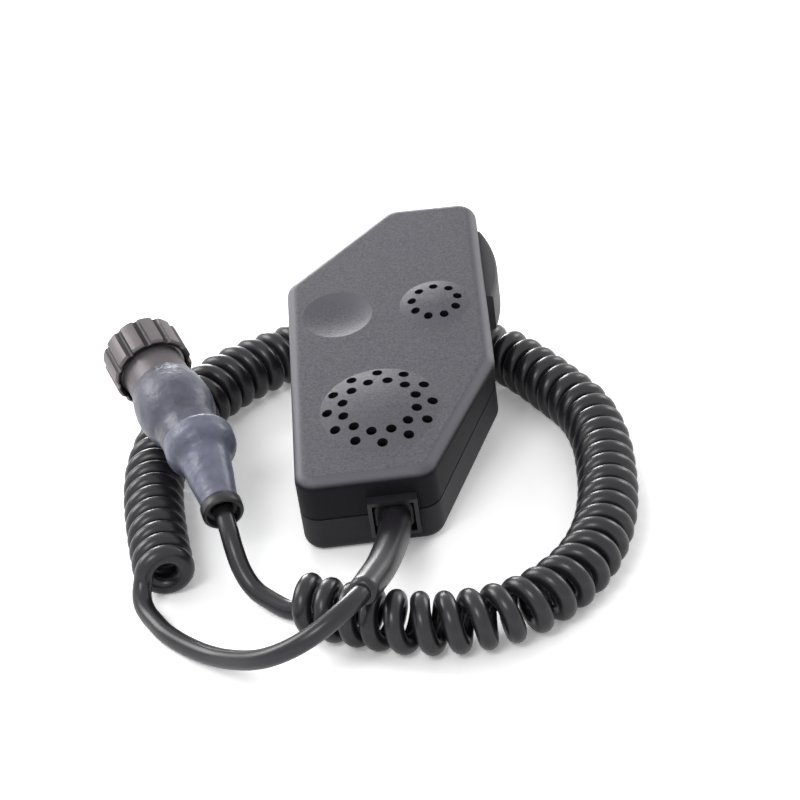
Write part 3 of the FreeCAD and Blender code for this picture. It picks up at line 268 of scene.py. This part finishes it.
def anodised():
    """Turned and anodised aluminium: dull brown grey. Its turning marks are too fine to show, so
    a fine grain stands for them."""
    _, colours = settings()
    return surface("anodised_plug", colours.plug, roughness=0.45, grain_size=0.35, height=0.01,
                   patch_size=2.5, spread=0.12, Metallic=0.35)


def ribbed_nut():
    """Cast and anodised aluminium: dull brown grey, painted shade in the grooves between lobes."""
    sizes, colours = settings()
    material, tree, shader = new_material("anodised_nut", colours.nut, roughness=0.42,
                                          Metallic=0.35)
    where = grain(tree, shader, size=0.35 * MM, height=0.01 * MM)
    clean = mottle(tree, shader, where, colours.nut, size=2.5 * MM, spread=0.12)
    # Distance from the nut's axis
    arm = add_node(tree, "ShaderNodeVectorMath", {"operation": "SUBTRACT", 1: NUT_SPOT},
                   {0: where.outputs["Object"]})
    lever = add_node(tree, "ShaderNodeVectorMath", {"operation": "CROSS_PRODUCT", 1: NUT_WAY},
                     {0: arm.outputs["Vector"]})
    far = add_node(tree, "ShaderNodeVectorMath", {"operation": "LENGTH"},
                   {0: lever.outputs["Vector"]})
    lobes = add_node(tree, "ShaderNodeMapRange", {
        "From Min": sizes.nut_outside / 2 - GROOVE_SHADE_COVERS,
        "From Max": sizes.nut_outside / 2 - GROOVE_SHADE_BEGINS}, {"Value": far.outputs["Value"]})
    # Painted shade: the colour darkens towards the bottom of the grooves between the lobes
    groove_shade = add_node(tree, "ShaderNodeMix", {
        "data_type": "RGBA", COLOUR_A: (*linear(GROOVE_SHADE), 1)},
        {0: lobes.outputs["Result"], COLOUR_B: clean})
    tree.links.new(groove_shade.outputs[COLOUR_OUT], shader.inputs["Base Color"])
    return material


def black_rubber():
    """Moulded nitrile rubber: black, half matt."""
    return surface("moulded_nitrile", linear("#1E1D1F"), roughness=0.42, grain_size=0.8,
                   height=0.02, patch_size=3, spread=0.2)


def bright_steel():
    """Steel, zinc plated: bright, its highlights broken up by a fine grain."""
    return surface("zinc_plated_steel", linear("#B5B5B8"), roughness=0.32, grain_size=0.3,
                   height=0.006, patch_size=2, spread=0.08, Metallic=1.0)


def polished_plastic():
    """ABS from a polished mould: dark and smooth, with clear highlights along its edges."""
    return surface("polished_abs", linear("#2B2A2D"), roughness=0.28, grain_size=0.6,
                   height=0.01, patch_size=3, spread=0.12)


def finish_nodes(material, *names):
    """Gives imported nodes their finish."""
    for name in names:
        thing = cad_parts[name]
        thing.data.materials.clear()
        thing.data.materials.append(material)


def across(way):
    """Two directions square to a way, the first of them level."""
    side = way.cross(UP).normalized()
    return side, side.cross(way)


def loft(name, rings, around, closed):
    """A smooth mesh through rings, each given by its middle, two directions across and a radius.
    A closed one joins its last ring to its first, an open one has a lid on its first."""
    mesh = bmesh.new()
    turns = [2 * math.pi * k / around for k in range(around)]
    loops = [[mesh.verts.new(spot + (side * math.cos(turn) + rise * math.sin(turn)) * radius)
              for turn in turns]
             for spot, side, rise, radius in rings]
    for a, b in zip(loops, loops[1:] + (loops[:1] if closed else [])):
        for k in range(around):
            mesh.faces.new((a[k], a[(k + 1) % around], b[(k + 1) % around], b[k]))
    if not closed:
        mesh.faces.new(loops[0])
    bmesh.ops.recalc_face_normals(mesh, faces=mesh.faces)
    data = bpy.data.meshes.new(name)
    mesh.to_mesh(data)
    mesh.free()
    data.shade_smooth()
    piece = bpy.data.objects.new(name, data)
    bpy.context.scene.collection.objects.link(piece)
    return piece


class MICROPHONE_OT_case(bpy.types.Operator):
    """Finishes both shells, their seal, the collar and the screws"""
    bl_idname = "microphone.case"
    bl_label = "Case"

    def execute(self, context):
        finish_nodes(spark_eroded_plastic(), "front_shell")
        finish_nodes(dark_plastic(), "rear_shell")
        finish_nodes(polished_plastic(), "cable_collar")
        finish_nodes(black_rubber(), "case_seal", "cable_bush", "capsule_boot", "switch_boot",
                     "plug_seal")
        finish_nodes(bright_steel(), "case_screws", "hang_up_stud", "stud_screw", "board_screws",
                     "hinge_pin", "cable_stop", "nut_clip", "speaker_frame", "voice_capsule")
        return {"FINISHED"}


# What lies inside, as the material's name, colour, roughness, size and height of its grain in
# millimetres and metallic share, with the pieces that have it
INSIDE = (
    # Open foam: dull black, with coarse pores
    ("open_foam", "#161617", 0.9, 0.8, 0.1, 0, ["speaker_foam"]),
    # Woven polyester cloth: dull and nearly black, its weave no more than a rough grain
    ("woven_cloth", "#0C0C0D", 0.85, 0.3, 0.05, 0, ["speaker_cloth"]),
    # Pressed and treated film: dark, with a soft shine
    ("treated_film", "#202022", 0.4, 1.5, 0.01, 0, ["speaker_cone"]),
    # Ground ferrite: dark grey, with a dull metallic shine
    ("ground_ferrite", "#4C4C4E", 0.5, 0.3, 0.01, 0.6, ["speaker_magnet"]),
    # Lacquered glass-fibre board: dark green and glossy
    ("lacquered_board", "#123C22", 0.35, 0.4, 0.01, 0, ["circuit_board"]),
    # Moulded epoxy: black and half matt
    ("moulded_epoxy", "#1B1B1C", 0.5, 0.2, 0.01, 0,
     ["board_chips", "switch_body", "switch_plunger", "plug_insert"]),
    # Plated brass: bright and yellow
    ("plated_brass", "#D3AE62", 0.25, 0.3, 0.004, 1, ["plug_pins"]),
)
# Their patches are this many grains wide, and go up and down by this share
INSIDE_PATCH, INSIDE_SPREAD = 5, 0.12


class MICROPHONE_OT_inside(bpy.types.Operator):
    """Finishes the speaker, the board, the switch and the plug's insert and pins"""
    bl_idname = "microphone.inside"
    bl_label = "Speaker and board"

    def execute(self, context):
        for name, code, roughness, grain_size, height, metallic, pieces in INSIDE:
            finish_nodes(surface(name, linear(code), roughness, grain_size, height,
                                 patch_size=grain_size * INSIDE_PATCH, spread=INSIDE_SPREAD,
                                 Metallic=metallic), *pieces)
        return {"FINISHED"}


class MICROPHONE_OT_talk_bar(bpy.types.Operator):
    """Finishes the talk bar"""
    bl_idname = "microphone.talk_bar"
    bl_label = "Talk bar"

    def execute(self, context):
        finish_nodes(soft_skin(), "talk_bar")
        return {"FINISHED"}


class MICROPHONE_OT_plug(bpy.types.Operator):
    """Finishes the plug, its nut and its sleeves"""
    bl_idname = "microphone.plug"
    bl_label = "Plug"

    def execute(self, context):
        _, colours = settings()
        finish_nodes(ribbed_nut(), "coupling_nut")
        finish_nodes(anodised(), "plug_body")
        self.end_ring()
        finish_nodes(shrunk_tube("shrunk_polyolefin", colours.shrink), "sleeve_front")
        finish_nodes(shrunk_tube("shrunk_polyolefin_rear", colours.shrink_rear), "sleeve_rear")
        return {"FINISHED"}

    def end_ring(self):
        """Rubber cup that closes the rear sleeve, with a gap round the cord."""
        spot, way = Vector(TAIL_SPOT) * MM, Vector(TAIL_WAY).normalized()
        rings = [(spot + way * depth * MM, *across(way), radius * MM)
                 for radius, depth in RING_SECTION]
        cup = loft("end_cup", rings, RING_AROUND, closed=True)
        cup.data.materials.append(black_rubber())
        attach(cup, "microphone")
        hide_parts("end_ring")


# The cord's route, as in the construction: points in millimetres
RELIEF_ROUTE = [(-5.8, -63.1, 13.4), (-5.8, -70.2, 12.1), (-7.4, -84.0, 15.8),
                (-10.2, -101.4, 20.8), (-13.5, -112.2, 23.4)]
MIC_ROUTE = [(-16.1, -120.5, 25.4), (-21.8, -127.4, 24.6), (-28.8, -131.4, 21.6),
             (-36.6, -131.8, 17.2), (-44.8, -128.6, 12.4), (-52.2, -121.9, 8.0),
             (-59.4, -114.2, 4.4), (-66.8, -106.6, 3.0), (-73.5, -99.0, 2.9), (-76.9, -92.7, 3.0),
             (-79.4, -88.2, 3.4), (-80.8, -84.6, 4.6), (-80.9, -81.6, 6.6)]
PLUG_ROUTE = [(-30.6, -93.2, 7.3), (-31.6, -93.2, 5.8), (-33.2, -93.4, 4.4), (-35.2, -93.6, 3.5),
              (-37.4, -93.2, 3.0), (-39.6, -91.6, 2.9), (-43.6, -87.6, 3.3), (-47.9, -83.4, 4.2),
              (-51.2, -79.3, 8.0), (-53.2, -74.9, 13.6), (-54.5, -69.0, 18.0),
              (-56.4, -61.0, 20.1)]
CURL_AXIS = [(-73.8, -78.4), (-80.2, -38), (-77.4, -6, 0.5), (-62.5, 26, 1.3), (-36.5, 46.9, 0.3),
             (-5, 57), (31, 35), (41, 21), (49, 5.8), (56.6, -9), (59.4, -27.5), (59.2, -43),
             (58, -60.3), (54.3, -77.7), (47.6, -93), (38.5, -104), (29.5, -110.6), (20, -114.1),
             (9, -115.3), (-1, -114.2), (-8.5, -111.7), (-15, -108.7), (-22.3, -105.2),
             (-29, -101.4), (-33.4, -98.9)]
# Share by which the curls stand further apart where their axis bends
CURL_EASE = 0.75
# Control points in a curl, and points per stretch of the cord, the relief and the curls' axis
CURL_POINTS = 16
CORD_DETAIL, RELIEF_DETAIL, AXIS_DETAIL = 4, 10, 24
# How finely the cord and the relief are rounded
CORD_ROUNDNESS = 6
RELIEF_AROUND = 32
# The quarter turn over which the relief thins out, in degrees, and how deep its tip ends in the
# cord
TIP_TURNS = (20, 40, 60, 75, 90)
TIP_BITE = 0.1 * MM


def smooth_line(name, points, detail, radius=0.0):
    """A curve of one smooth spline with these control points, as thick as the radius says."""
    curve = bpy.data.curves.new(name, "CURVE")
    curve.dimensions = "3D"
    curve.resolution_u = detail
    spline = curve.splines.new("NURBS")
    spline.points.add(len(points) - 1)
    for point, spot in zip(spline.points, points):
        point.co = (*spot, 1)
    spline.order_u = 3
    spline.use_endpoint_u = True
    curve.bevel_depth = radius
    curve.bevel_resolution = CORD_ROUNDNESS
    curve.use_fill_caps = True
    thing = bpy.data.objects.new(name, curve)
    bpy.context.scene.collection.objects.link(thing)
    return thing


def line_points(points, detail):
    """Points along the smooth line of these control points."""
    thing = smooth_line("measuring_line", points, detail)
    bpy.context.view_layer.update()
    mesh = bpy.data.meshes.new_from_object(thing)
    spots = [vertex.co.copy() for vertex in mesh.vertices]
    bpy.data.meshes.remove(mesh)
    bpy.data.objects.remove(thing)
    return spots


def by_length(spots):
    """The length from the first spot to each of them."""
    reach = [0.0]
    for a, b in zip(spots, spots[1:]):
        reach.append(reach[-1] + (b - a).length)
    return reach


def along_line(spots, reach, distance, n):
    """Point and way at a distance; n is where the search starts."""
    while n < len(spots) - 2 and reach[n + 1] < distance:
        n += 1
    share = (distance - reach[n]) / (reach[n + 1] - reach[n])
    spot = spots[n].lerp(spots[n + 1], share)
    return spot, (spots[n + 1] - spots[n]).normalized(), n


def curl_points(sizes):
    """The curls as control points: loops round their axis, left side first. The axis lies half
    the curls' width over the table, and higher where the curls swell."""
    half = sizes.coil_outside / 2
    axis = line_points([Vector((spot[0] * MM, spot[1] * MM, half + sum(spot[2:]) * MM))
                        for spot in CURL_AXIS], AXIS_DETAIL)
    pace = [0.0]
    for n, (a, b) in enumerate(zip(axis, axis[1:])):
        bend = (b - a).angle(axis[n + 2] - b) if n + 2 < len(axis) else 0
        inward = CURL_EASE * (half - sizes.cord_wire / 2) * bend
        pace.append(pace[-1] + (b - a).length - inward)
    # A spline of this order runs a little inside its control points, so they stand out by this
    spread = math.cos(math.pi / CURL_POINTS) ** -1.5
    count = round(sizes.coil_turns * CURL_POINTS)
    spots, n = [], 0
    for k in range(count + 1):
        spot, way, n = along_line(axis, pace, pace[-1] * k / count, n)
        right = way.cross(UP).normalized()
        angle = math.pi + 2 * math.pi * sizes.coil_turns * k / count
        radius = (spot.z - sizes.cord_wire / 2) * spread
        spots.append(spot + (right * math.cos(angle) - UP * math.sin(angle)) * radius)
    return spots


def in_metres(points):
    """Vectors in metres of points in millimetres."""
    return [Vector(point) * MM for point in points]


class MICROPHONE_OT_cord(bpy.types.Operator):
    """Makes the cord from the collar through the curls to the plug, in one smooth line"""
    bl_idname = "microphone.cord"
    bl_label = "Cord"

    def execute(self, context):
        sizes, _ = settings()
        route = in_metres(RELIEF_ROUTE + MIC_ROUTE) + curl_points(sizes) + in_metres(PLUG_ROUTE)
        cord = smooth_line("cord", route, CORD_DETAIL, sizes.cord_wire / 2)
        cord.data.materials.append(cord_sheath())
        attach(cord, "microphone")
        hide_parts("mic_lead", "curly_cord", "plug_lead")
        relief = self.relief(sizes, route)
        return {"FINISHED"}

    def relief(self, sizes, route):
        """Tapered sleeve round the cord where it leaves the collar, along the cord's own line."""
        spots = line_points(route[:2 * len(RELIEF_ROUTE)], RELIEF_DETAIL)
        reach = by_length(spots)
        last = min(range(len(spots)), key=lambda n: abs(reach[n] - sizes.relief_length))
        spots, reach = spots[:last + 1], reach[:last + 1]
        rings = []
        for n, (spot, done) in enumerate(zip(spots, reach)):
            way = (spots[min(n + 1, last)] - spots[max(n - 1, 0)]).normalized()
            share = done / reach[-1]
            radius = (sizes.relief_end * (1 - share) + sizes.relief_tip * share) / 2
            rings.append((spot, *across(way), radius))
        # The tip thins out to the cord
        tip, side, rise, radius = rings[-1]
        way = (spots[-1] - spots[-2]).normalized()
        drop = radius - sizes.cord_wire / 2 + TIP_BITE
        for degrees in TIP_TURNS:
            turn = math.radians(degrees)
            rings.append((tip + way * sizes.relief_thinning * math.sin(turn), side, rise,
                          radius - drop * (1 - math.cos(turn))))
        sleeve = loft("relief_sleeve", rings, RELIEF_AROUND, closed=False)
        sleeve.data.materials.append(cord_sheath())
        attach(sleeve, "microphone")
        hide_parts("strain_relief")
        return sleeve


# The floor's half width in metres, and its roughness
FLOOR_HALF = 4.0
FLOOR_ROUGHNESS = 0.6
# White that the floor gives off where it is seen, and white paint for the camera alone, which
# lifts the lit floor and keeps the shadows next to the object
FLOOR_GLOW = 0.2
FLOOR_PAINT = 0.4
# The windows that light the object: spot and width in metres, power in watts
WINDOWS = (
    ("window_front", (-0.35, -0.7, 0.85), 0.36, 3.4),
    ("window_left", (-0.95, 0.5, 0.65), 0.6, 7.5),
    ("window_right", (0.85, 0.7, 0.45), 0.45, 3.0),
    ("window_behind", (-0.25, 1.2, 0.26), 0.5, 10.0),
)
# The room's light grows along this way, over this span of it, from the darker to the brighter
ROOM_WAY = (0, 0.55, 0.84)
ROOM_SPAN = (-0.4, 0.8)
ROOM_LIGHT = (0.08, 0.7)
# The camera: spot, lens and sensor in millimetres, angles in degrees
CAMERA_SPOT = (5.933, -706.704, 433.695)
CAMERA_LENS, CAMERA_SENSOR = 117, 36
CAMERA_DEPRESSION, CAMERA_HEADING, CAMERA_ROLL = 30.684, 0.592, -5.785


def seen_rays(tree, path):
    """1 for the rays that show the background: to the camera, off metal and through glass."""
    seen = path.outputs["Is Camera Ray"]
    for ray in ("Is Glossy Ray", "Is Transmission Ray"):
        seen = add_node(tree, "ShaderNodeMath", {"operation": "MAXIMUM"},
                        {0: seen, 1: path.outputs[ray]}).outputs[0]
    return seen


class MICROPHONE_OT_stage(bpy.types.Operator):
    """Lays the floor and sets the lamps, the world and the camera"""
    bl_idname = "microphone.stage"
    bl_label = "Stage"

    def execute(self, context):
        self.floor()
        self.lamps()
        self.world()
        self.camera()
        context.scene.view_settings.view_transform = "Standard"
        return {"FINISHED"}

    def floor(self):
        """White laminate table top: half matt, seen as plain white with the object's shadow."""
        _, colours = settings()
        data = bpy.data.meshes.new("table_top")
        half = FLOOR_HALF
        data.from_pydata([(-half, -half, 0), (half, -half, 0), (half, half, 0), (-half, half, 0)],
                         [], [(0, 1, 2, 3)])
        floor = bpy.data.objects.new("table_top", data)
        bpy.context.scene.collection.objects.link(floor)
        material, tree, shader = new_material("white_laminate", colours.floor, FLOOR_ROUGHNESS)
        path = add_node(tree, "ShaderNodeLightPath")
        paint = add_node(tree, "ShaderNodeMath", {"operation": "MULTIPLY", 1: FLOOR_PAINT},
                         {0: path.outputs["Is Camera Ray"]})
        white = add_node(tree, "ShaderNodeBsdfDiffuse", None, {"Color": paint.outputs[0]})
        lift = add_node(tree, "ShaderNodeMath", {"operation": "MULTIPLY", 1: FLOOR_GLOW},
                        {0: seen_rays(tree, path)})
        glow = add_node(tree, "ShaderNodeEmission", {"Color": WHITE},
                        {"Strength": lift.outputs[0]})
        layers = shader
        for layer in (white, glow):
            layers = add_node(tree, "ShaderNodeAddShader", None,
                              {0: layers.outputs[0], 1: layer.outputs[0]})
        tree.links.new(layers.outputs[0], tree.nodes["Material Output"].inputs["Surface"])
        floor.data.materials.append(material)

    def lamps(self):
        """Soft square windows round the object, each facing it."""
        for name, spot, width, power in WINDOWS:
            light = bpy.data.lights.new(name, "AREA")
            light.size = width
            light.energy = power
            lamp = bpy.data.objects.new(name, light)
            lamp.location = spot
            lamp.rotation_euler = (-Vector(spot)).to_track_quat("-Z", "Y").to_euler()
            bpy.context.scene.collection.objects.link(lamp)

    def world(self):
        """A white backdrop where it is seen; as light, a bright ceiling and a darker front."""
        world = bpy.data.worlds.new("studio")
        bpy.context.scene.world = world
        world.use_nodes = True
        tree = world.node_tree
        back = tree.nodes["Background"]
        back.inputs["Color"].default_value = WHITE
        where = add_node(tree, "ShaderNodeTexCoord")
        way = add_node(tree, "ShaderNodeVectorMath", {"operation": "DOT_PRODUCT", 1: ROOM_WAY},
                       {0: where.outputs["Generated"]})
        light = add_node(tree, "ShaderNodeMapRange", {
            "From Min": ROOM_SPAN[0], "From Max": ROOM_SPAN[1],
            "To Min": ROOM_LIGHT[0], "To Max": ROOM_LIGHT[1]}, {"Value": way.outputs["Value"]})
        path = add_node(tree, "ShaderNodeLightPath")
        strength = add_node(tree, "ShaderNodeMath", {"operation": "MAXIMUM"},
                            {0: seen_rays(tree, path), 1: light.outputs["Result"]})
        tree.links.new(strength.outputs[0], back.inputs["Strength"])

    def camera(self):
        """The photograph's view: a long lens, looking down, turned a little round its axis."""
        data = bpy.data.cameras.new("camera")
        data.sensor_width = CAMERA_SENSOR
        data.lens = CAMERA_LENS
        camera = bpy.data.objects.new("camera", data)
        turn = (Matrix.Rotation(math.radians(CAMERA_HEADING), 4, "Z")
                @ Matrix.Rotation(math.radians(90 - CAMERA_DEPRESSION), 4, "X")
                @ Matrix.Rotation(math.radians(CAMERA_ROLL), 4, "Z"))
        camera.matrix_world = Matrix.Translation(Vector(CAMERA_SPOT) * MM) @ turn
        bpy.context.scene.collection.objects.link(camera)
        bpy.context.scene.camera = camera


class MICROPHONE_PT_panel(bpy.types.Panel):
    """Sizes, colours and steps of the microphone"""
    bl_idname = "MICROPHONE_PT_panel"
    bl_label = "Microphone"
    bl_space_type = "VIEW_3D"
    bl_region_type = "UI"
    bl_category = "Microphone"

    def draw(self, context):
        for group in settings():
            for key in group.__annotations__:
                self.layout.prop(group, key)
        for step in OPERATORS:
            self.layout.operator(step.bl_idname)


OPERATORS = (MICROPHONE_OT_stage, MICROPHONE_OT_case, MICROPHONE_OT_inside, MICROPHONE_OT_talk_bar,
             MICROPHONE_OT_plug, MICROPHONE_OT_cord)
CLASSES = (MicrophoneSizes, MicrophoneColours, *OPERATORS, MICROPHONE_PT_panel)


def register():
    for one in CLASSES:
        bpy.utils.register_class(one)
    bpy.types.Scene.microphone_sizes = PointerProperty(type=MicrophoneSizes)
    bpy.types.Scene.microphone_colours = PointerProperty(type=MicrophoneColours)


def unregister():
    del bpy.types.Scene.microphone_colours
    del bpy.types.Scene.microphone_sizes
    for one in reversed(CLASSES):
        bpy.utils.unregister_class(one)


def main():
    """Takes every step."""
    register()
    for step in ("stage", "case", "inside", "talk_bar", "plug", "cord"):
        getattr(bpy.ops.microphone, step)()


if __name__ == "__main__":
    main()
